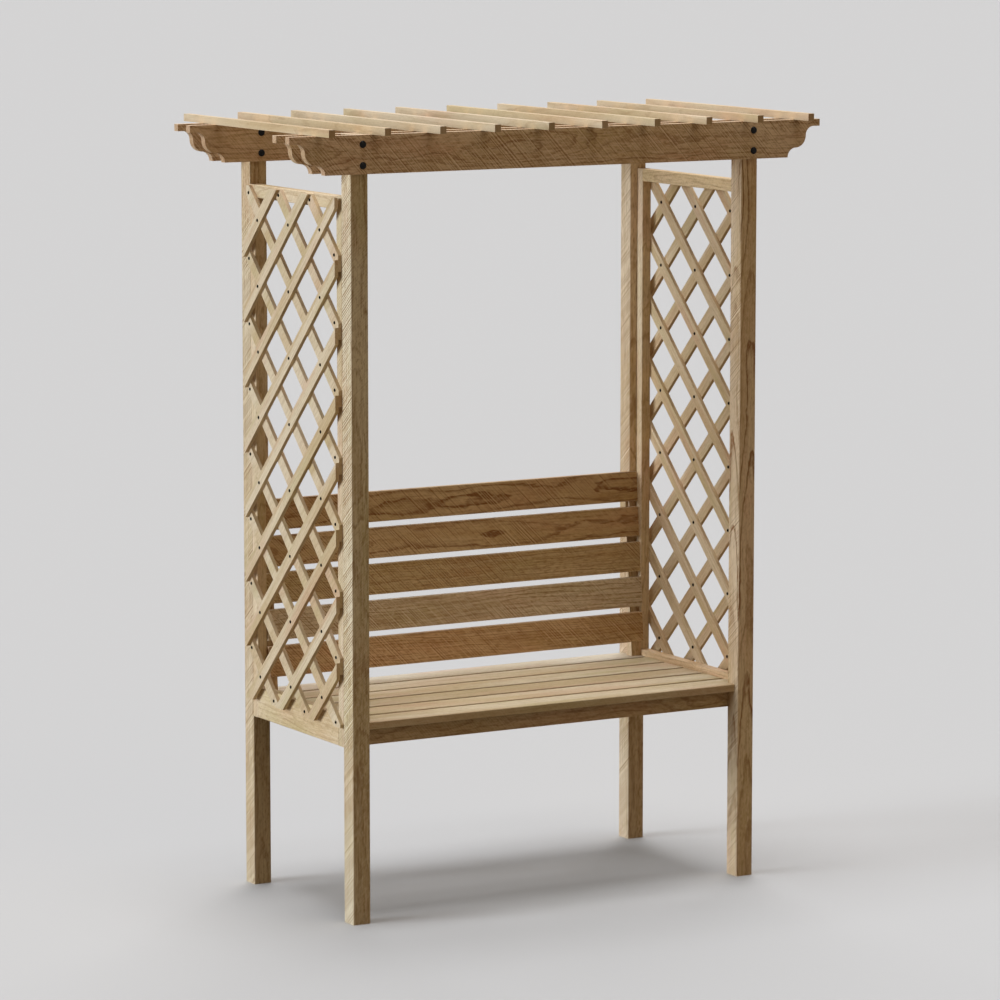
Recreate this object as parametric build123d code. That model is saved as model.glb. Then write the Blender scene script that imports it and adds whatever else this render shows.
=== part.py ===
from build123d import *
import math
import os

# A garden arbour bench under a small pergola roof, in millimetres.
# X runs along the bench, -Y is the open front and +Z is up.

# Posts
post_size = 50
post_height = 2046
frame_width = 1226
frame_depth = 614

# Roof beams, in pairs that clasp the posts front and rear
beam_overhang = 184.5
beam_height = 100
beam_thickness = 21

# Scroll at each beam end, from the top down: nose, cove, ovolo and lower cove
nose_height = 18.5
nose_length = 20
cove_radius = 24
ovolo_radius = 32

# Roof slats
roof_slat_count = 10
roof_slat_width = 18
roof_slat_height = 19.5
roof_slat_left_inset = 76
roof_slat_right_inset = 64
roof_front_overhang = 69
roof_rear_overhang = 98

# Side frames between the front and rear posts
side_thickness = 28
side_bottom = 461
side_head_gap = 60
stile_width = 28
top_rail_height = 34
bottom_rail_height = 82.5

# Lattice on the outside of each side frame, in two layers of bars
lattice_bar_width = 30
lattice_bar_thickness = 10
lattice_bay_width = 175.3
lattice_bay_height = 173.6
lattice_top_setback = 3
lattice_foot_lap = 31.5
lattice_shortest_bar = 60

# Seat
seat_top = 527
seat_slat_count = 6
seat_slat_width = 87
seat_slat_gap = 12.3
seat_slat_thickness = 20
seat_rail_thickness = 28
seat_bearer_width = 28

# Reclined backrest
back_tilt = 5
back_foot_reach = 49
back_board_count = 5
back_board_height = 83
back_board_gap = 15.2
back_board_thickness = 18
back_seat_gap = 42.5
batten_depth = 28
batten_proud = 8.5
batten_top_setback = 15

# Timber finish and fits
eased_edge = 1.5
notch_clearance = 0.5

# Sizes that follow
half_width = frame_width / 2
half_depth = frame_depth / 2
post_x = half_width - post_size / 2
post_y = half_depth - post_size / 2
post_inner_x = half_width - post_size
post_inner_y = half_depth - post_size
side_inner_x = half_width - side_thickness
side_top = post_height - beam_height - side_head_gap
bottom_rail_top = side_bottom + bottom_rail_height
lattice_height = side_top - lattice_top_setback - bottom_rail_top + lattice_foot_lap
beam_length = frame_width + 2 * beam_overhang
roof_slat_run = beam_length - roof_slat_left_inset - roof_slat_right_inset - roof_slat_width
lower_cove_radius = beam_height - nose_height - cove_radius - ovolo_radius
seat_underside = seat_top - seat_slat_thickness

# The origin is on the ground under the middle of the roof, which reaches further back than forward
frame_centre_y = (roof_front_overhang - roof_rear_overhang) / 2


def block(x_range, y_range, z_range):
    """A rectangular block between two limits on each axis."""
    size = [high - low for low, high in (x_range, y_range, z_range)]
    centre = [(low + high) / 2 for low, high in (x_range, y_range, z_range)]
    return Pos(*centre) * Box(*size)


def eased(solid, axis):
    """Planed timber: the four long edges that run along the axis are eased."""
    return chamfer(solid.edges().filter_by(axis), eased_edge)


def post(x, y):
    """A square post that stands on the ground."""
    return eased(Pos(x, y, post_height / 2) * Box(post_size, post_size, post_height), Axis.Z)


def scroll_outline():
    """Half of a beam's face: from the middle of its top edge round one scrolled end."""
    end = beam_length / 2
    nose_back = end - nose_length
    step = nose_back - cove_radius
    ledge = step - ovolo_radius
    toe = ledge - lower_cove_radius
    cove_top = beam_height - nose_height
    ovolo_top = cove_top - cove_radius
    straight_top = Polyline((0, beam_height), (end, beam_height), (end, cove_top), (nose_back, cove_top))
    cove = CenterArc((nose_back, ovolo_top), cove_radius, 90, 90)
    ovolo = CenterArc((ledge, ovolo_top), ovolo_radius, 0, -90)
    lower_cove = CenterArc((ledge, 0), lower_cove_radius, 90, 90)
    straight_bottom = Polyline((toe, 0), (0, 0), (0, beam_height))
    return make_face(straight_top + cove + ovolo + lower_cove + straight_bottom)


def beam(front_y):
    """A roof beam on edge, with its front face at front_y and a scroll at each end."""
    half = scroll_outline()
    face = half + mirror(half, Plane.YZ)
    upright = Pos(0, front_y + beam_thickness, post_height - beam_height) * Plane.XZ.location
    return upright * extrude(face, beam_thickness)


def roof_slat(index):
    """A slat across both pairs of beams, counted from the left."""
    pitch = roof_slat_run / (roof_slat_count - 1)
    left = roof_slat_left_inset + index * pitch - beam_length / 2
    front = -half_depth - beam_thickness - roof_front_overhang
    rear = half_depth + beam_thickness + roof_rear_overhang
    return block(
        (left, left + roof_slat_width), (front, rear), (post_height, post_height + roof_slat_height)
    )


def side_span(side):
    """Limits in X of a side frame, whose outer face is flush with the posts."""
    return sorted((side * side_inner_x, side * half_width))


def stile(side, end):
    """An upright of a side frame, against the inner face of a post."""
    y_range = sorted((end * (post_inner_y - stile_width), end * post_inner_y))
    return eased(block(side_span(side), y_range, (side_bottom, side_top)), Axis.Z)


def side_rail(side, z_range):
    """A rail of a side frame, between its stiles."""
    reach = post_inner_y - stile_width
    return eased(block(side_span(side), (-reach, reach), z_range), Axis.Y)


def lattice_layer(rise):
    """One layer of parallel bars, as a flat face cut to the panel; rise is +1 or -1."""
    slope = math.degrees(math.atan2(rise * lattice_bay_height, lattice_bay_width))
    reach = post_inner_y * lattice_bay_height / lattice_bay_width + lattice_height / 2
    long_bar = Rectangle(4 * reach, lattice_bar_width)
    panel = Rectangle(2 * post_inner_y, lattice_height)
    first_row = lattice_height / 2 - lattice_bay_height / 2
    rows_above = math.floor((reach - first_row) / lattice_bay_height)
    row_count = math.floor((reach + first_row) / lattice_bay_height) + rows_above + 1
    bars = []
    for row in range(row_count):
        height = first_row + (rows_above - row) * lattice_bay_height
        cut_bar = Pos(0, height) * Rot(0, 0, slope) * long_bar & panel
        if cut_bar.faces() and cut_bar.area > lattice_bar_width * lattice_shortest_bar:
            bars.append(cut_bar.face())
    return bars


def lattice(side):
    """Two crossed layers of bars on a side frame's outer face, fused where they cross."""
    middle = side_top - lattice_top_setback - lattice_height / 2
    layers = []
    for layer, rise in enumerate((1, -1)):
        inner_face = half_width + layer * lattice_bar_thickness
        upright = Plane((inner_face, 0, middle), x_dir=(0, 1, 0), z_dir=(1, 0, 0))
        layers += [extrude(upright.location * bar, lattice_bar_thickness) for bar in lattice_layer(rise)]
    panel = layers[0].fuse(*layers[1:])
    return panel if side > 0 else mirror(panel, Plane.YZ)


def seat_slat(index):
    """A seat slat, counted from the front; the outer two are cut round the posts."""
    pitch = seat_slat_width + seat_slat_gap
    front = (index - seat_slat_count / 2) * pitch + seat_slat_gap / 2
    y_range = (front, front + seat_slat_width)
    slat = block((-side_inner_x, side_inner_x), y_range, (seat_underside, seat_top))
    return eased(slat, Axis.X) - post_notches()


def post_notches():
    """The room that seat slats and back pieces leave for the four posts."""
    size = post_size + 2 * notch_clearance
    notches = [
        Pos(x, y, post_height / 2) * Box(size, size, post_height)
        for x in (-post_x, post_x)
        for y in (-post_y, post_y)
    ]
    return notches


def seat_rail(end):
    """A rail under the seat, behind the front posts or before the rear posts."""
    y_range = sorted((end * (post_inner_y - seat_rail_thickness), end * post_inner_y))
    return block((-side_inner_x, side_inner_x), y_range, (side_bottom, seat_underside))


def seat_bearer(x):
    """A bearer under the slats, from the front seat rail to the rear one."""
    reach = post_inner_y - seat_rail_thickness
    x_range = (x - seat_bearer_width / 2, x + seat_bearer_width / 2)
    return block(x_range, (-reach, reach), (side_bottom, seat_underside))


def back_place():
    """The backrest's own frame: its front face leans back from the seat top."""
    return Pos(0, post_inner_y - back_foot_reach, seat_top) * Rot(-back_tilt, 0, 0)


def back_board(index):
    """A backrest board, counted from the seat up, cut round the rear posts where it meets them."""
    low = back_seat_gap + index * (back_board_height + back_board_gap)
    board = block(
        (-side_inner_x, side_inner_x), (0, back_board_thickness), (low, low + back_board_height)
    )
    return back_place() * eased(board, Axis.X) - post_notches()


def back_batten(side):
    """A batten that carries the boards, cut round the rear post and stood on the seat."""
    x_range = sorted((side * (post_inner_x - batten_proud), side * side_inner_x))
    back_height = back_seat_gap + back_board_count * (back_board_height + back_board_gap) - back_board_gap
    y_range = (back_board_thickness, back_board_thickness + batten_depth)
    batten = back_place() * block(x_range, y_range, (-batten_depth, back_height - batten_top_setback))
    below_seat = block((-half_width, half_width), (0, frame_depth), (0, seat_top))
    return batten - below_seat - post_notches()


def save(name, solid):
    """Writes one piece, placed about the origin under the roof's middle."""
    placed = Pos(0, frame_centre_y, 0) * solid
    export_step(placed, os.path.join("parts", name + ".step"))


def main():
    os.makedirs("parts", exist_ok=True)
    sides = {"left": -1, "right": 1}
    ends = {"front": -1, "rear": 1}
    for end_name, end in ends.items():
        for side_name, side in sides.items():
            save(f"post_{end_name}_{side_name}", post(side * post_x, end * post_y))
        save(f"seat_rail_{end_name}", seat_rail(end))
    save("beam_front_outer", beam(-half_depth - beam_thickness))
    save("beam_front_inner", beam(-post_inner_y))
    save("beam_rear_inner", beam(post_inner_y - beam_thickness))
    save("beam_rear_outer", beam(half_depth))
    for index in range(roof_slat_count):
        save(f"roof_slat_{index + 1:02d}", roof_slat(index))
    for side_name, side in sides.items():
        save(f"side_{side_name}_stile_front", stile(side, -1))
        save(f"side_{side_name}_stile_rear", stile(side, 1))
        save(f"side_{side_name}_top_rail", side_rail(side, (side_top - top_rail_height, side_top)))
        save(f"side_{side_name}_bottom_rail", side_rail(side, (side_bottom, bottom_rail_top)))
        save(f"lattice_{side_name}", lattice(side))
        save(f"seat_bearer_{side_name}", seat_bearer(side * (side_inner_x - seat_bearer_width / 2)))
        save(f"back_batten_{side_name}", back_batten(side))
    save("seat_bearer_middle", seat_bearer(0))
    for index in range(seat_slat_count):
        save(f"seat_slat_{index + 1}", seat_slat(index))
    for index in range(back_board_count):
        save(f"back_board_{index + 1}", back_board(index))


main()
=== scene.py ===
import math

import bmesh
import bpy
from mathutils import Euler, Matrix, Vector


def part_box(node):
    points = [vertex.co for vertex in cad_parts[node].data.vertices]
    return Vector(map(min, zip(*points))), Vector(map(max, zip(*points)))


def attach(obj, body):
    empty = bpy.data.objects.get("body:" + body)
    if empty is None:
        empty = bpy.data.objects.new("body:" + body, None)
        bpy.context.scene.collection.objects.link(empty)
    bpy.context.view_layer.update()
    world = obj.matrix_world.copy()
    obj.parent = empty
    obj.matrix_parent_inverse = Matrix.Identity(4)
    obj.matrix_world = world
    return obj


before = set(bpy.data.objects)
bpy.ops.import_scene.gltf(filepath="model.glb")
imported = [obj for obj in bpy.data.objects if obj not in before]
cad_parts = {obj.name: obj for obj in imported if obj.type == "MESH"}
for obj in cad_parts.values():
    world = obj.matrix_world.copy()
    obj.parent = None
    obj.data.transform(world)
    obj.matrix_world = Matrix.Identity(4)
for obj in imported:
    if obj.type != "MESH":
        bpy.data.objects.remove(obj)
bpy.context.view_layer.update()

# A garden arbour bench under a small pergola roof, in metres: timber, fixings, floor, light and camera.

# Camera, solved from the photograph's edges; it sees past the floor's rim
CAMERA_PLACE = (-6.2794, -10.9470, 2.7963)
CAMERA_PITCH = 82.038
CAMERA_TURN = -29.874
CAMERA_LENS = 171.1
CAMERA_SENSOR = 36
CAMERA_REACH = 600

# Colours, linear
WOOD_PALE = (0.77, 0.64, 0.445, 1)
WOOD_MID = (0.63, 0.475, 0.275, 1)
WOOD_DARK = (0.28, 0.145, 0.06, 1)
WOOD_PINK = (0.67, 0.43, 0.28, 1)
WOOD_OLIVE = (0.54, 0.44, 0.21, 1)
WOOD_TAN = (0.47, 0.31, 0.155, 1)
# Painted highlight for the back boards' edges
PAINTED_EDGE_HIGHLIGHT = (0.85, 0.76, 0.60, 1)
# Painted shade for the edges of the seat slats, the dark of the gaps between them
PAINTED_GAP_SHADE = (0.13, 0.066, 0.024, 1)
METAL_BLACK = (0.0045, 0.0038, 0.0032, 1)
METAL_RUBBED = (0.022, 0.018, 0.014, 1)
FLOOR_SHOWN = (0.52, 0.505, 0.48, 1)
FLOOR_BOUNCE = (0.15, 0.12, 0.08, 1)
SKY_SHOWN = (0.658, 0.653, 0.651, 1)

# Lamps: name, direction it shines from (azimuth from +X towards +Y, elevation), width of the
# source as seen from the object in degrees, level on a face turned to it, colour
LAMPS = (
    ("key", (172, 11), 28, 0.98, (0.90, 1.005, 1.14)),
    ("overhead", (90, 88), 30, 0.76, (0.96, 1.0, 1.08)),
    ("front_fill", (-75, 28), 60, 0.115, (1.0, 0.76, 0.48)),
    ("rear_light", (60, 38), 40, 0.42, (0.98, 1.0, 1.06)),
)
AMBIENT = (0.062, 0.045, 0.028, 1)

# Floor
FLOOR_RADIUS = 400
FLOOR_SEGMENTS = 96
FLOOR_ROUGHNESS = 0.9

# Fixings; a head's profile goes from its rim inwards, as shares of its radius and of its height
BOLT_RADIUS = 0.0094
BOLT_PROUD = 0.0052
BOLT_TOP_INSET = 0.024
BOLT_LOW_INSET = 0.078
NAIL_RADIUS = 0.0044
NAIL_PROUD = 0.0022
HEAD_SEGMENTS = 24
HEAD_PROFILE = ((1.0, 0.0), (1.0, 0.16), (0.96, 0.34), (0.82, 0.62), (0.58, 0.86), (0.30, 0.97))

# The beam faces that carry bolts, and the way each looks along Y
BOLTED_FACES = (("front_outer", -1), ("front_inner", 1), ("rear_inner", -1), ("rear_outer", 1))

# Lattice, as the panels were cut; its bars cross once in each bay, and their nails keep within
# the front and rear edges, measured from the panel's middle, and the low and high ones, from
# the ground
BAY_WIDTH = 0.1753
BAY_HEIGHT = 0.1736
BAY_ROWS = 8
BAY_COLUMNS = (-1, 0, 1)
BAR_THICKNESS = 0.010
NAIL_EDGES = {"front": -0.236, "rear": 0.244, "low": 0.524, "high": 1.868}

# Turns that lay a timber's own x axis, the way its grain runs, along an axis of the frame
GRAIN_X = (0, 0, 0)
GRAIN_Y = (0, 0, math.radians(90))
GRAIN_Z = (0, math.radians(-90), 0)

# The faces of a timber that show the saw, and the way up
FACE_X = (1, 0, 0)
FACE_Y = (0, 1, 0)
UP = (0, 0, 1)

# What the timber group is told about a piece, and what it gives back
TIMBER_INPUTS = {
    "Place": "Vector",
    "Seed": "Float",
    "Heart": "Vector",
    "Lean": "Float",
    "Ring": "Float",
    "Figure": "Float",
    "Saw": "Float",
    "Saw slope": "Float",
    "Saw pitch": "Float",
    "Saw drift": "Float",
    "Sawn face": "Vector",
    "Grain": "Float",
    "Grain axis": "Vector",
}
TIMBER_OUTPUTS = {"Color": "Color", "Roughness": "Float", "Height": "Float"}

# Noise that places the marks: features per metre along the grain and across it both ways,
# detail, roughness
NOISE = {
    "tone": ((1.6, 10, 10), 3.0, 0.5),
    "blush": ((3.3, 13, 13), 2.0, 0.5),
    "moss": ((2.6, 12, 12), 2.0, 0.5),
    "streak": ((6, 170, 170), 2.0, 0.6),
    "fleck": ((70, 190, 190), 3.0, 0.7),
    "fibre": ((16, 520, 520), 2.0, 0.6),
    "pore": ((45, 700, 700), 1.0, 0.5),
    "ring bow": ((2.1, 7, 7), 1.0, 0.5),
    "ring ripple": ((11, 42, 42), 2.0, 0.5),
    "ring waver": ((50, 130, 130), 1.0, 0.5),
    "ring fade": ((4, 22, 22), 2.0, 0.5),
    "saw jitter": ((45, 3, 1), 1.0, 0.5),
    "saw length": ((3.3, 12, 1), 1.0, 0.5),
    "saw cover": ((3.2, 7, 7), 2.0, 0.5),
    "metal mottle": ((400, 400, 400), 3.0, 0.6),
}

# How far the noise moves for each unit of seed, and for two marks that would else follow others
SEED_STEP = (3.7, 1.9, 2.3)
BLUSH_SHIFT = (5, 0, 0)
MOSS_SHIFT = (0, 7, 0)

# Levels between which a mark comes in; where the first is the higher, it fades out instead
TONE_LEVELS = (0.35, 0.65)
PORE_LEVELS = (0.58, 0.70)
ROUGH_LEVELS = (0.3, 0.7)
END_GRAIN_LEVELS = (0.5, 0.95)
UPRIGHT_LEVELS = (0.6, 0.3)
# The edge mask's levels; it carries pale wear, the back boards' painted highlight and the seat slats'
# painted shade
EDGE_WEAR_AND_LIGHT_LEVELS = (0.99, 0.86)

# Stains over the timber's ground colour, with the saw marks' painted shade and painted highlight, first
# to last: the mark that places it, the levels between which the mark comes in (none where it is a
# weight already), its strength at most, what scales that, its colour
STAINS_AND_PAINTED_LIGHT = (
    ("blush", (0.48, 0.70), 0.50, None, WOOD_PINK),
    ("moss", (0.48, 0.70), 0.50, None, WOOD_OLIVE),
    ("ring tone", (0.55, 1.00), 0.45, "figure", WOOD_TAN),
    ("ring tone", (0.30, 0.00), 0.55, "figure", WOOD_PALE),
    ("streak", (0.50, 0.70), 0.48, "grain", WOOD_DARK),
    ("streak", (0.48, 0.30), 0.48, "grain", WOOD_PALE),
    ("ring line", None, 1.00, "figure", WOOD_DARK),
    ("fleck", (0.52, 0.66), 0.48, "grain", WOOD_DARK),
    ("fleck", (0.48, 0.34), 0.55, "grain", WOOD_PALE),
    ("fibre", (0.50, 0.72), 0.25, "fine grain", WOOD_DARK),
    ("pore", None, 0.35, "fine grain", WOOD_DARK),
    # Saw marks: painted shade in each groove and a painted highlight beside it, over their relief
    ("saw shade", None, 0.64, None, WOOD_DARK),
    ("saw highlight", None, 0.90, None, WOOD_PALE),
    ("end grain", None, 0.40, None, WOOD_DARK),
)

# The part of fibres and pores that follows the grain's strength; the rest is always there
FINE_GRAIN_PART = 0.75

# Relief: how far each mark stands up, or sinks in where the number is below zero
RELIEF = {"fibre": 0.5, "saw highlight": 0.6, "saw shade": -0.6, "fleck": -0.6, "pore": -0.25, "ring line": 0.25}
WOOD_RELIEF = 0.0006
WOOD_RELIEF_STRENGTH = 0.6
WOOD_ROUGHNESS = (0.58, 0.76)
WOOD_SHINE = 0.08
# The edge mask's width; it carries pale wear, the back boards' painted highlight and the seat slats' painted
# shade
EDGE_WEAR_AND_LIGHT_RADIUS = 0.0022

# Growth rings: how far they wander from circles, in metres; the part of a ring's width over
# which its dark line rises and then falls; how faint the line gets in places and in some rings
RING_WANDER = {"ring bow": 0.060, "ring ripple": 0.010, "ring waver": 0.0026}
RING_LINE = ((0.60, 0.88), (0.99, 0.90))
RING_FADE_LEVELS = (0.30, 0.55)
RING_FADED = 0.50
RING_WEAKEST = 0.40

# Saw marks: how far their spacing strays; the levels of noise where one ends and a patch of them
# does; how far a face has to look the sawn way, and what is left on the others; the part of the
# spacing over which the painted highlight on a groove's ridge and the painted shade in the groove
# rise and then fall; the draw that gives full strength
SAW_JITTER = 1.6
SAW_LENGTH_LEVELS = (0.30, 0.46)
SAW_PATCH_LEVELS = (0.28, 0.50)
SAW_FACE_LEVELS = (0.3, 0.9)
SAW_OFF_FACE = 0.12
SAW_HIGHLIGHT = ((0.10, 0.22), (0.46, 0.32))
SAW_SHADE = ((0.45, 0.58), (0.84, 0.70))
SAW_FULL_DRAW = 0.80

# Black metal
METAL_RUB_LEVELS = (0.5, 0.8)
METAL_ROUGHNESS_SPREAD = 0.12
METAL_RELIEF = 0.0002
METAL_RELIEF_STRENGTH = 0.3

# What chance decides: a timber's seed, its tone, and where its heart is off its middle line
SEED_SPAN = 10
TONE_LEAST = 0.95
TONE_SPREAD = 0.1
HEART_LEAST = 0.035
HEART_SPREAD = 0.03
CHANCE_TURN = 12.9898
CHANCE_SCALE = 43758.5453

# Lattice bars: what keeps the two layers' numbers apart, and the span of the bars' own seeds
LAYER_STEP = 20
BAR_SEED_SPAN = 9.0

# What a finish says about a timber:
# turn is the way its grain runs;
# ring, figure and lean are the spacing of its growth rings, their strength, and how far the heart
# runs off along it, and heart is where the heart is off its middle line, if chance doesn't say;
# saw, slope, pitch, drift and sawn are the strength, slant and spacing of its saw marks, how they
# thin out along it and the faces that they are on;
# grain is the strength of its streaks, flecks and fibres, and tint is its colour;
# edge is the strength and colour of its edges: pale wear on most timbers, a painted highlight on the
# back boards and painted shade on the seat slats; the side shade is how much painted shade darkens its
# upright faces.
PLAIN_FINISH = dict(
    lean=0.016, slope=0.8, pitch=0.0080, drift=0.0, sawn=FACE_X, grain=0.8, edge=(0.35, WOOD_PALE), sides=0.0
)

# Each family of timbers, over the plain finish
FINISHES = {
    "post_": dict(
        turn=GRAIN_Z, ring=0.0080, figure=0.65, saw=2.5, slope=0.84, drift=-0.09, grain=1.0,
        tint=(1.02, 1.05, 1.05),
    ),
    "beam_": dict(
        turn=GRAIN_X, ring=0.0068, figure=0.82, saw=1.05, slope=0.92, pitch=0.0095, sawn=FACE_Y,
        grain=1.0, tint=(1.09, 1.01, 0.99),
    ),
    "roof_slat": dict(
        turn=GRAIN_Y, ring=0.0090, figure=0.25, saw=0.15, grain=0.15, tint=(0.90, 0.85, 0.80),
    ),
    "side_stile": dict(
        turn=GRAIN_Z, ring=0.0070, figure=0.50, saw=0.5, grain=0.6, tint=(1.0, 0.97, 0.94),
    ),
    "side_rail": dict(
        turn=GRAIN_Y, ring=0.0080, figure=0.40, saw=0.3, grain=0.5, tint=(1.0, 0.98, 0.96),
    ),
    "lattice": dict(
        heart=(0, 0.04, 0.01), ring=0.0070, figure=0.25, saw=0.1, grain=0.35, tint=(0.90, 0.87, 0.84),
    ),
    # Seat slats: their edges and upright faces carry painted shade, the dark of the gaps between them
    "seat_slat": dict(
        turn=GRAIN_X, ring=0.0090, figure=0.12, saw=0.2, sawn=FACE_Y, grain=0.4,
        tint=(0.92, 0.93, 0.90), edge=(0.95, PAINTED_GAP_SHADE), sides=0.55,
    ),
    # Seat rails: their tint darkens them, partly their own tone and partly painted shade under the seat
    # slats
    "seat_rail": dict(
        turn=GRAIN_X, ring=0.0080, figure=0.60, saw=0.4, slope=0.9, sawn=FACE_Y, tint=(0.9, 0.84, 0.8),
    ),
    "seat_bearer": dict(
        turn=GRAIN_Y, ring=0.0080, figure=0.50, saw=0.4, tint=(0.95, 0.92, 0.9),
    ),
    # Back boards: their edges carry a painted highlight in cream
    "back_board": dict(
        turn=GRAIN_X, ring=0.0085, figure=0.80, saw=1.15, slope=0.90, pitch=0.0088, drift=-0.22,
        sawn=FACE_Y, grain=1.0, tint=(0.96, 0.87, 0.78), edge=(0.85, PAINTED_EDGE_HIGHLIGHT),
    ),
    "back_batten": dict(
        turn=GRAIN_Z, ring=0.0080, figure=0.50, saw=0.4, tint=(0.95, 0.9, 0.86),
    ),
}

# Timbers that differ from their family in colour or in how they were cut from the log
OWN_FINISH = {
    "back_board_5": dict(tint=(0.78, 0.66, 0.51), ring=0.0092, figure=1.15, grain=0.8),
    "back_board_4": dict(tint=(0.84, 0.73, 0.59), ring=0.0100, figure=1.05, grain=0.8),
    "back_board_3": dict(tint=(0.81, 0.73, 0.59), ring=0.0060, heart=(0, 0.02, 0.12)),
    "back_board_2": dict(tint=(0.93, 0.93, 0.96), ring=0.0120, heart=(0, 0.02, 0.10)),
    "back_board_1": dict(tint=(0.90, 0.75, 0.62), ring=0.0070, heart=(0, 0.02, -0.10)),
    "post_front_right": dict(
        lean=0.045, ring=0.0125, figure=1.3, grain=0.7, saw=1.4, heart=(0, 0.004, -0.010),
        tint=(1.10, 1.05, 1.02),
    ),
    "beam_rear_inner": dict(tint=(1.01, 0.90, 0.87), saw=0.4, grain=0.7),
    "post_rear_right": dict(tint=(1.08, 1.05, 1.04)),
    "post_rear_left": dict(tint=(0.97, 0.96, 0.93)),
    "side_left_top_rail": dict(tint=(0.94, 0.91, 0.88)),
    "side_right_top_rail": dict(tint=(1.20, 1.15, 1.05)),
    "side_right_bottom_rail": dict(tint=(1.10, 0.98, 0.86)),
    "lattice_right": dict(tint=(0.93, 0.87, 0.80)),
    "seat_slat_6": dict(tint=(0.92, 0.98, 1.07)),
    # The front seat slat keeps plain pale edges and only a little painted shade on its upright faces
    "seat_slat_1": dict(edge=(0.35, WOOD_PALE), sides=0.10),
}


# Node helpers

def add(tree, kind, inputs=None, **settings):
    """Adds a node; each input takes a value or another node's output."""
    node = tree.nodes.new("ShaderNode" + kind)
    for name, value in settings.items():
        setattr(node, name, value)
    for name, value in (inputs or {}).items():
        if isinstance(value, bpy.types.NodeSocket):
            tree.links.new(value, node.inputs[name])
        else:
            node.inputs[name].default_value = value
    return node


def calc(tree, operation, *values):
    """A sum on single numbers."""
    return add(tree, "Math", dict(enumerate(values)), operation=operation).outputs[0]


def product(tree, *values):
    """All the values multiplied together."""
    result = values[0]
    for value in values[1:]:
        result = calc(tree, "MULTIPLY", result, value)
    return result


def vector(tree, operation, *values):
    """A sum on vectors."""
    return add(tree, "VectorMath", dict(enumerate(values)), operation=operation).outputs[0]


def mix(tree, factor, first, second, mode="MIX"):
    """Mixes two colours."""
    inputs = {0: factor, 6: first, 7: second}
    return add(tree, "Mix", inputs, data_type="RGBA", blend_type=mode).outputs[2]


def remap(tree, value, low, high, new_low=0.0, new_high=1.0):
    """Stretches the range low to high over new_low to new_high, with soft ends."""
    inputs = {0: value, 1: low, 2: high, 3: new_low, 4: new_high}
    return add(tree, "MapRange", inputs, interpolation_type="SMOOTHSTEP").outputs[0]


def band(tree, value, rise, fall):
    """1 between the levels where it has risen and where it starts to fall, and 0 outside them."""
    return product(tree, remap(tree, value, *rise), remap(tree, value, *fall))


def noise(tree, place, name):
    """Smooth noise from 0 to 1, as fine as its entry in the table says."""
    scale, detail, roughness = NOISE[name]
    inputs = {
        "Vector": vector(tree, "MULTIPLY", place, scale),
        "Scale": 1.0,
        "Detail": detail,
        "Roughness": roughness,
    }
    return add(tree, "TexNoise", inputs).outputs[0]


def swing(tree, value, reach):
    """Turns a 0 to 1 value into a shift between -reach/2 and +reach/2."""
    return product(tree, calc(tree, "SUBTRACT", value, 0.5), reach)


def draws(tree, number):
    """Three random numbers from 0 to 1 that belong to a whole number."""
    colour = add(tree, "TexWhiteNoise", {"W": number}, noise_dimensions="1D").outputs["Color"]
    return add(tree, "SeparateColor", {0: colour}).outputs


def looks_along(tree, direction):
    """1 where the surface looks straight along a direction, either way, and 0 where it is square to it."""
    inputs = {0: add(tree, "TexCoord").outputs["Normal"], 1: direction}
    return calc(tree, "ABSOLUTE", add(tree, "VectorMath", inputs, operation="DOT_PRODUCT").outputs[1])


def new_group(name, inputs, outputs):
    """An empty node group; returns its tree and the values that it is given, by name."""
    tree = bpy.data.node_groups.new(name, "ShaderNodeTree")
    for way, sockets in (("INPUT", inputs), ("OUTPUT", outputs)):
        for socket, kind in sockets.items():
            tree.interface.new_socket(socket, in_out=way, socket_type="NodeSocket" + kind)
    return tree, tree.nodes.new("NodeGroupInput").outputs


def add_output(tree, made):
    """Links the finished values to the group's outputs."""
    node = tree.nodes.new("NodeGroupOutput")
    for name, value in made.items():
        tree.links.new(value, node.inputs[name])


# Timber

def timber_group():
    """Sawn timber: growth rings round an off-centre heart, fibres, blotches and saw marks."""
    tree, given = new_group("timber", TIMBER_INPUTS, TIMBER_OUTPUTS)
    marks = timber_marks(tree, given)
    fine_grain = calc(tree, "MULTIPLY_ADD", given["Grain"], FINE_GRAIN_PART, 1 - FINE_GRAIN_PART)
    scales = {"figure": given["Figure"], "grain": given["Grain"], "fine grain": fine_grain}

    colour = mix(tree, remap(tree, marks["tone"], *TONE_LEVELS), WOOD_PALE, WOOD_MID)
    for mark, levels, strength, scale, mark_colour in STAINS_AND_PAINTED_LIGHT:
        weight = remap(tree, marks[mark], *levels) if levels else marks[mark]
        weight = product(tree, weight, strength)
        if scale:
            weight = product(tree, weight, scales[scale])
        colour = mix(tree, weight, colour, mark_colour)

    relief = 0.0
    for mark, height in RELIEF.items():
        relief = calc(tree, "MULTIPLY_ADD", marks[mark], height, relief)

    rough = remap(tree, marks["fibre"], *ROUGH_LEVELS, *WOOD_ROUGHNESS)
    add_output(tree, {"Color": colour, "Roughness": rough, "Height": relief})
    return tree


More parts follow.
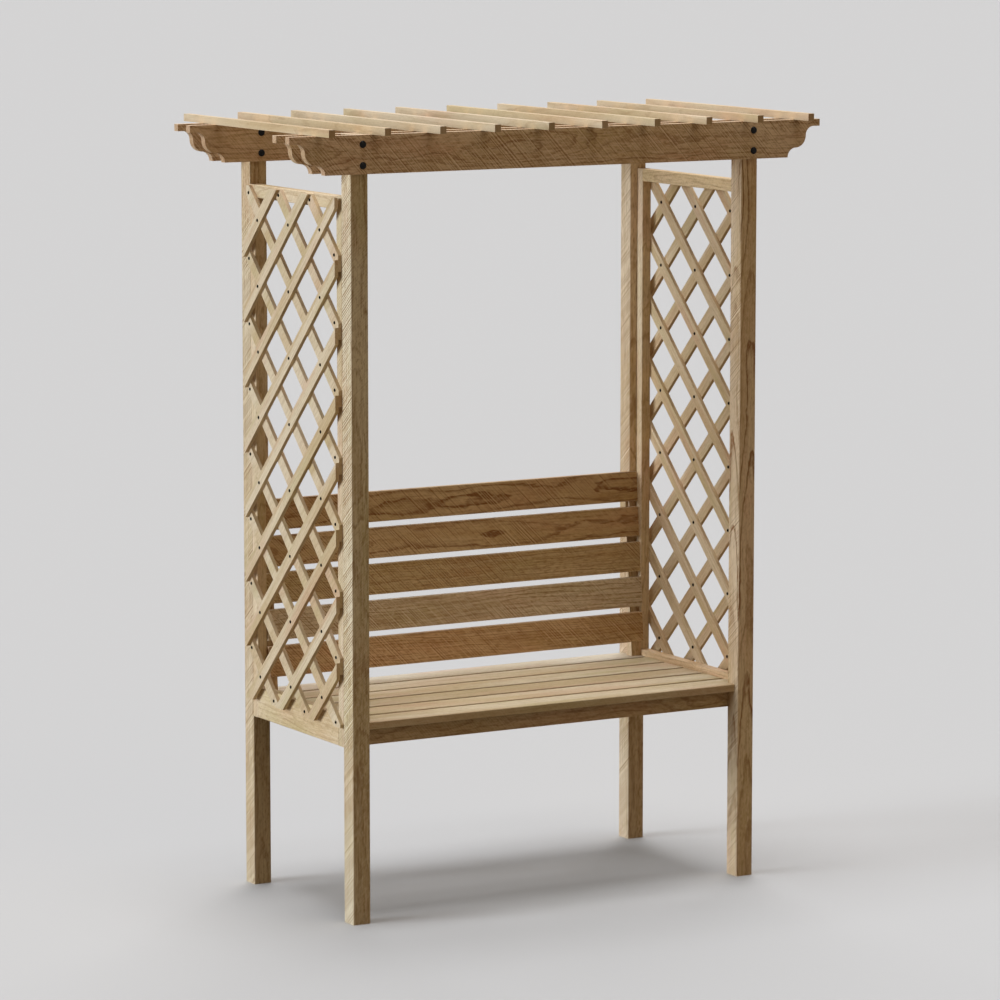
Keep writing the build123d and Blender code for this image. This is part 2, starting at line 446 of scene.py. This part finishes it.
def timber_marks(tree, given):
    """All the marks in the timber by name, each from 0 to 1."""
    seed = given["Seed"]
    seeds = add(tree, "CombineXYZ", {0: seed, 1: seed, 2: seed}).outputs[0]
    shifted = vector(tree, "ADD", given["Place"], vector(tree, "MULTIPLY", seeds, SEED_STEP))
    marks = {name: noise(tree, shifted, name) for name in ("tone", "streak", "fleck", "fibre")}
    marks["blush"] = noise(tree, vector(tree, "ADD", shifted, BLUSH_SHIFT), "blush")
    marks["moss"] = noise(tree, vector(tree, "ADD", shifted, MOSS_SHIFT), "moss")
    marks["pore"] = remap(tree, noise(tree, shifted, "pore"), *PORE_LEVELS)
    marks["ring line"], marks["ring tone"] = growth_rings(tree, given, shifted)
    marks["saw highlight"], marks["saw shade"] = saw_marks(tree, given, shifted)
    marks["end grain"] = remap(tree, looks_along(tree, given["Grain axis"]), *END_GRAIN_LEVELS)
    return marks


def growth_rings(tree, given, shifted):
    """Each ring's dark line and its own tone, both 0 to 1, by the distance from a wandering heart."""
    from_heart = vector(tree, "SUBTRACT", given["Place"], given["Heart"])
    axis = add(tree, "SeparateXYZ", {0: from_heart}).outputs
    flat = add(tree, "CombineXYZ", {1: axis[1], 2: axis[2]}).outputs[0]
    radius = add(tree, "VectorMath", {0: flat}, operation="LENGTH").outputs[1]
    reach = calc(tree, "MULTIPLY_ADD", axis[0], given["Lean"], radius)
    for name, width in RING_WANDER.items():
        reach = calc(tree, "ADD", reach, swing(tree, noise(tree, shifted, name), width))
    rings = calc(tree, "DIVIDE", reach, given["Ring"])
    weights = draws(tree, calc(tree, "FLOOR", rings))
    line = band(tree, calc(tree, "FRACT", rings), *RING_LINE)
    fade = remap(tree, noise(tree, shifted, "ring fade"), *RING_FADE_LEVELS, RING_FADED, 1.0)
    strength = remap(tree, weights[0], 0.0, 1.0, RING_WEAKEST, 1.0)
    return product(tree, line, fade, strength), weights[1]


def saw_marks(tree, given, shifted):
    """Thin straight slanting saw grooves in patches on the sawn faces, each drawn as a painted highlight and
    a line of painted shade.
    """
    seed = given["Seed"]
    own = add(tree, "SeparateXYZ", {0: given["Place"]}).outputs
    across = calc(tree, "ADD", own[1], own[2])
    slant = calc(tree, "MULTIPLY_ADD", across, given["Saw slope"], own[0])
    jitter = noise(tree, add(tree, "CombineXYZ", {0: slant, 1: seed}).outputs[0], "saw jitter")
    count = calc(tree, "DIVIDE", slant, given["Saw pitch"])
    lines = calc(tree, "MULTIPLY_ADD", jitter, SAW_JITTER, count)
    phase = calc(tree, "FRACT", lines)
    number = calc(tree, "ADD", calc(tree, "FLOOR", lines), seed)
    weights = draws(tree, number)

    # Where marks lie at all
    reach = add(tree, "CombineXYZ", {0: number, 1: across, 2: seed}).outputs[0]
    length = remap(tree, noise(tree, reach, "saw length"), *SAW_LENGTH_LEVELS)
    cover = calc(tree, "MULTIPLY_ADD", own[0], given["Saw drift"], noise(tree, shifted, "saw cover"))
    patch = remap(tree, cover, *SAW_PATCH_LEVELS)
    sawn = remap(tree, looks_along(tree, given["Sawn face"]), *SAW_FACE_LEVELS, SAW_OFF_FACE, 1.0)
    strength = product(tree, patch, length, given["Saw"], sawn)

    light_draw = remap(tree, weights[0], 0.0, SAW_FULL_DRAW)
    dark_draw = remap(tree, weights[1], 0.0, SAW_FULL_DRAW)
    # The light line is a painted highlight and the dark line painted shade, beside the grooves' relief
    light = product(tree, band(tree, phase, *SAW_HIGHLIGHT), light_draw, strength)
    dark = product(tree, band(tree, phase, *SAW_SHADE), dark_draw, strength)
    return light, dark


TIMBER = timber_group()


def new_material(name):
    """A material with only its shader; returns the material, its tree and the shader."""
    material = bpy.data.materials.new(name)
    material.use_nodes = True
    tree = material.node_tree
    return material, tree, tree.nodes["Principled BSDF"]


def dress_shader(tree, shader, colour, roughness, shine, relief):
    """Gives a shader its colour, roughness, shine and relief; the last is a bump's inputs."""
    tree.links.new(colour, shader.inputs["Base Color"])
    tree.links.new(roughness, shader.inputs["Roughness"])
    tree.links.new(add(tree, "Bump", relief).outputs[0], shader.inputs["Normal"])
    shader.inputs["Specular IOR Level"].default_value = shine


def timber_material(name, place_of, seed, heart, finish, tone):
    """Timber for one piece; place_of builds the coordinates along its own grain."""
    material, tree, shader = new_material(name)
    place, own_seed, grain_axis = place_of(tree, seed)
    values = {
        "Place": place,
        "Seed": own_seed,
        "Heart": heart,
        "Lean": finish["lean"],
        "Ring": finish["ring"],
        "Figure": finish["figure"],
        "Saw": finish["saw"],
        "Saw slope": finish["slope"],
        "Saw pitch": finish["pitch"],
        "Saw drift": finish["drift"],
        "Sawn face": finish["sawn"],
        "Grain": finish["grain"],
        "Grain axis": grain_axis,
    }
    wood = add(tree, "Group", values, node_tree=TIMBER).outputs
    tint = (*[tone * part for part in finish["tint"]], 1)
    colour = mix(tree, 1.0, wood["Color"], tint, "MULTIPLY")
    # Edge colour: pale wear on most timbers, a painted highlight on the back boards, painted shade on the
    # seat slats
    edge_strength, edge_colour = finish["edge"]
    colour = mix(tree, product(tree, edge_wear_and_light(tree), edge_strength), colour, edge_colour)
    # Painted shade: upright faces darkened towards WOOD_DARK, for the shaded gaps between the seat slats
    if finish["sides"]:
        colour = mix(tree, product(tree, upright(tree), finish["sides"]), colour, WOOD_DARK)
    relief = {"Height": wood["Height"], "Distance": WOOD_RELIEF, "Strength": WOOD_RELIEF_STRENGTH}
    dress_shader(tree, shader, colour, wood["Roughness"], WOOD_SHINE, relief)
    return material


def edge_wear_and_light(tree):
    """1 along the piece's outer edges and 0 on its flats."""
    soft = add(tree, "Bevel", {"Radius": EDGE_WEAR_AND_LIGHT_RADIUS}, samples=4).outputs[0]
    true = add(tree, "NewGeometry").outputs["True Normal"]
    agreement = add(tree, "VectorMath", {0: soft, 1: true}, operation="DOT_PRODUCT").outputs[1]
    return remap(tree, agreement, *EDGE_WEAR_AND_LIGHT_LEVELS)


def upright(tree):
    """1 on the faces that stand upright and 0 on those that lie flat."""
    return remap(tree, looks_along(tree, UP), *UPRIGHT_LEVELS)


def turned(turn):
    """Where a turn takes the x axis."""
    return Euler(turn).to_matrix() @ Vector((1, 0, 0))


def straight(centre, turn):
    """Coordinates for a straight timber, from its centre and with x along the grain."""
    def place_of(tree, seed):
        where = add(tree, "TexCoord").outputs["Object"]
        inputs = {"Vector": where, "Location": centre, "Rotation": turn}
        own = add(tree, "Mapping", inputs, vector_type="TEXTURE").outputs[0]
        return own, float(seed), turned(turn)
    return place_of


def crossed_bars(centre, layer_face):
    """Coordinates for a lattice panel: each layer has its own grain, each bar its own seed."""
    slope = math.atan2(BAY_HEIGHT, BAY_WIDTH)
    spacing = BAY_HEIGHT * math.cos(slope)

    def place_of(tree, seed):
        where = add(tree, "TexCoord").outputs["Object"]
        out = add(tree, "SeparateXYZ", {0: where}).outputs[0]
        outer = calc(tree, "GREATER_THAN", calc(tree, "ABSOLUTE", out), layer_face)
        layers = []
        axes = []
        for rise in (1, -1):
            turn = (0, -rise * slope, math.radians(90))
            inputs = {"Vector": where, "Location": centre, "Rotation": turn}
            layers.append(add(tree, "Mapping", inputs, vector_type="TEXTURE").outputs[0])
            axes.append(turned(turn))
        own = add(tree, "Mix", {0: outer, 4: layers[0], 5: layers[1]}, data_type="VECTOR").outputs[1]
        grain = add(tree, "Mix", {0: outer, 4: axes[0], 5: axes[1]}, data_type="VECTOR").outputs[1]
        axis = add(tree, "SeparateXYZ", {0: own}).outputs
        bar = calc(tree, "ROUND", calc(tree, "DIVIDE", axis[2], spacing))
        level = calc(tree, "SUBTRACT", axis[2], product(tree, bar, spacing))
        centred = add(tree, "CombineXYZ", {0: axis[0], 1: axis[1], 2: level}).outputs[0]
        count = calc(tree, "MULTIPLY_ADD", outer, LAYER_STEP, bar)
        draw = add(tree, "TexWhiteNoise", {"W": count}, noise_dimensions="1D").outputs[0]
        return centred, calc(tree, "MULTIPLY_ADD", draw, BAR_SEED_SPAN, seed), grain
    return place_of


def middle_of(node):
    """The centre of a CAD node's box."""
    low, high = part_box(node)
    return (low + high) / 2


def family_of(node):
    """The family of timbers that a node belongs to."""
    if node.startswith("side_"):
        return "side_stile" if "stile" in node else "side_rail"
    return next(family for family in FINISHES if node.startswith(family))


def finish_of(node):
    """A node's finish: the plain one, then what its family says, then what is its own."""
    return PLAIN_FINISH | FINISHES[family_of(node)] | OWN_FINISH.get(node, {})


def chance(node, salt):
    """A steady number from 0 to 1 for a node, the same on each run."""
    total = sum((index + 3) * ord(letter) for index, letter in enumerate(node + salt))
    return math.modf(math.sin(total * CHANCE_TURN) * CHANCE_SCALE)[0] % 1


def dress(node, finish, place_of, heart, tone=1.0):
    """Gives a node its own timber."""
    seed = SEED_SPAN * chance(node, "seed")
    material = timber_material("timber_" + node, place_of, seed, heart, finish, tone)
    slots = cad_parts[node].data.materials
    slots.clear()
    slots.append(material)


def dress_timbers():
    """Dresses every straight timber."""
    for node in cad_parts:
        if node.startswith("lattice"):
            continue
        finish = finish_of(node)
        aside = HEART_LEAST + HEART_SPREAD * chance(node, "y")
        above = HEART_SPREAD * chance(node, "z") - HEART_SPREAD / 2
        heart = finish.get("heart", (0, aside, above))
        tone = TONE_LEAST + TONE_SPREAD * chance(node, "tone")
        dress(node, finish, straight(middle_of(node), finish["turn"]), heart, tone)


def dress_lattices():
    """Dresses both lattice panels."""
    for node in ("lattice_left", "lattice_right"):
        low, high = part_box(node)
        layer_face = min(abs(low.x), abs(high.x)) + BAR_THICKNESS
        finish = finish_of(node)
        dress(node, finish, crossed_bars((low + high) / 2, layer_face), finish["heart"])


# Fixings

def metal_material(name, roughness, shine):
    """Black painted steel, a little uneven and rubbed."""
    material, tree, shader = new_material(name)
    where = add(tree, "TexCoord").outputs["Object"]
    mottle = noise(tree, where, "metal mottle")
    colour = mix(tree, remap(tree, mottle, *METAL_RUB_LEVELS), METAL_BLACK, METAL_RUBBED)
    rough = remap(tree, mottle, *ROUGH_LEVELS, roughness, roughness + METAL_ROUGHNESS_SPREAD)
    relief = {"Height": mottle, "Distance": METAL_RELIEF, "Strength": METAL_RELIEF_STRENGTH}
    dress_shader(tree, shader, colour, rough, shine, relief)
    return material


def add_dome(mesh, radius, proud, place):
    """Adds one round domed head to a bmesh, with its flat side on the face that it is on."""
    turns = [math.tau * step / HEAD_SEGMENTS for step in range(HEAD_SEGMENTS)]
    rings = []
    for out, up in HEAD_PROFILE:
        points = [(radius * out * math.cos(a), radius * out * math.sin(a), proud * up) for a in turns]
        rings.append([mesh.verts.new(place @ Vector(point)) for point in points])
    for lower, upper in zip(rings, rings[1:]):
        for step in range(HEAD_SEGMENTS):
            after = (step + 1) % HEAD_SEGMENTS
            mesh.faces.new((lower[step], lower[after], upper[after], upper[step]))
    top = mesh.verts.new(place @ Vector((0, 0, proud)))
    for step in range(HEAD_SEGMENTS):
        mesh.faces.new((rings[-1][step], rings[-1][(step + 1) % HEAD_SEGMENTS], top))
    mesh.faces.new(list(reversed(rings[0])))


def heads(name, radius, proud, places, material):
    """Makes one piece that holds a set of like heads, each at its own place."""
    mesh = bmesh.new()
    for place in places:
        add_dome(mesh, radius, proud, place)
    data = bpy.data.meshes.new(name)
    mesh.to_mesh(data)
    mesh.free()
    data.shade_smooth()
    data.materials.append(material)
    piece = bpy.data.objects.new(name, data)
    bpy.context.scene.collection.objects.link(piece)
    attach(piece, "root")


def facing(direction, point):
    """A place at the point whose z axis is the direction."""
    return Matrix.Translation(point) @ Vector(direction).to_track_quat("Z", "Y").to_matrix().to_4x4()


def add_bolts():
    """Two bolts at each post, on the outer and inner face of every beam."""
    paint = metal_material("bolt_black", roughness=0.30, shine=0.12)
    post_x = middle_of("post_front_right").x
    beam_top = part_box("beam_front_outer")[1].z
    for beam, side in BOLTED_FACES:
        low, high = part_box("beam_" + beam)
        face = high.y if side > 0 else low.y
        places = [
            facing((0, side, 0), (x, face, beam_top - inset))
            for x in (-post_x, post_x)
            for inset in (BOLT_TOP_INSET, BOLT_LOW_INSET)
        ]
        heads("bolts_" + beam, BOLT_RADIUS, BOLT_PROUD, places, paint)


def edge_nails(middle_y, top_crossing):
    """Where the inner layer's bars are nailed to the frame: (y, z) at both ends of each bar."""
    rise = BAY_HEIGHT / BAY_WIDTH
    points = []
    for row in range(-1, BAY_ROWS + 1):
        height = top_crossing - row * BAY_HEIGHT
        front_end = max(NAIL_EDGES["front"], (NAIL_EDGES["low"] - height) / rise)
        rear_end = min(NAIL_EDGES["rear"], (NAIL_EDGES["high"] - height) / rise)
        points += [(middle_y + y, height + y * rise) for y in (front_end, rear_end)]
    return points


def add_nails():
    """Nail heads on the lattice: at the crossings and where its bars meet the frame."""
    paint = metal_material("nail_black", roughness=0.60, shine=0.01)
    for side, sign in (("left", -1), ("right", 1)):
        low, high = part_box("lattice_" + side)
        middle_y = (low.y + high.y) / 2
        top_crossing = high.z - BAY_HEIGHT / 2
        back_x = min(abs(low.x), abs(high.x)) * sign
        outer_x = max(abs(low.x), abs(high.x)) * sign
        layer_x = back_x + sign * BAR_THICKNESS
        crossings = [
            (middle_y + column * BAY_WIDTH, top_crossing - row * BAY_HEIGHT)
            for column in BAY_COLUMNS
            for row in range(BAY_ROWS)
        ]
        places = [facing((sign, 0, 0), (outer_x, y, z)) for y, z in crossings]
        places += [facing((-sign, 0, 0), (back_x, y, z)) for y, z in crossings]
        places += [facing((sign, 0, 0), (layer_x, y, z)) for y, z in edge_nails(middle_y, top_crossing)]
        heads("nails_" + side, NAIL_RADIUS, NAIL_PROUD, places, paint)


# Floor, light and camera

def seen_rays(tree):
    """1 for what the camera sees, also in a reflection or through glass, and 0 for light."""
    path = add(tree, "LightPath").outputs
    mirrored = calc(tree, "MAXIMUM", path["Is Glossy Ray"], path["Is Transmission Ray"])
    return calc(tree, "MAXIMUM", path["Is Camera Ray"], mirrored)


def add_floor():
    """A wide round floor, pale to the camera and of a modest tone in what it throws back."""
    mesh = bmesh.new()
    bmesh.ops.create_circle(mesh, cap_ends=True, radius=FLOOR_RADIUS, segments=FLOOR_SEGMENTS)
    data = bpy.data.meshes.new("floor")
    mesh.to_mesh(data)
    mesh.free()
    material, tree, shader = new_material("floor")
    colour = mix(tree, seen_rays(tree), FLOOR_BOUNCE, FLOOR_SHOWN)
    tree.links.new(colour, shader.inputs["Base Color"])
    shader.inputs["Roughness"].default_value = FLOOR_ROUGHNESS
    shader.inputs["Specular IOR Level"].default_value = 0.0
    data.materials.append(material)
    floor = bpy.data.objects.new("floor", data)
    bpy.context.scene.collection.objects.link(floor)


def add_lamps():
    """Soft lamps far away, so that the level is the same all over the object."""
    for name, (azimuth, elevation), width, level, colour in LAMPS:
        lamp = bpy.data.lights.new(name, "SUN")
        lamp.energy = math.pi * level
        lamp.angle = math.radians(width)
        lamp.color = colour
        holder = bpy.data.objects.new(name, lamp)
        around = math.radians(azimuth)
        above = math.radians(elevation)
        flat = math.cos(above)
        source = Vector((math.cos(around) * flat, math.sin(around) * flat, math.sin(above)))
        holder.rotation_euler = source.to_track_quat("Z", "Y").to_euler()
        bpy.context.scene.collection.objects.link(holder)


def add_world():
    """Even light from all round; the camera sees a pale background instead."""
    world = bpy.data.worlds.new("studio")
    world.use_nodes = True
    bpy.context.scene.world = world
    tree = world.node_tree
    colour = mix(tree, seen_rays(tree), AMBIENT, SKY_SHOWN)
    tree.links.new(colour, tree.nodes["Background"].inputs["Color"])


def add_camera():
    """The photograph's viewpoint."""
    camera = bpy.data.cameras.new("camera")
    camera.lens = CAMERA_LENS
    camera.sensor_width = CAMERA_SENSOR
    camera.clip_end = CAMERA_REACH
    holder = bpy.data.objects.new("camera", camera)
    holder.location = CAMERA_PLACE
    holder.rotation_euler = (math.radians(CAMERA_PITCH), 0, math.radians(CAMERA_TURN))
    bpy.context.scene.collection.objects.link(holder)
    bpy.context.scene.camera = holder


dress_timbers()
dress_lattices()
add_bolts()
add_nails()
add_floor()
add_lamps()
add_world()
add_camera()
bpy.context.scene.view_settings.view_transform = "Standard"
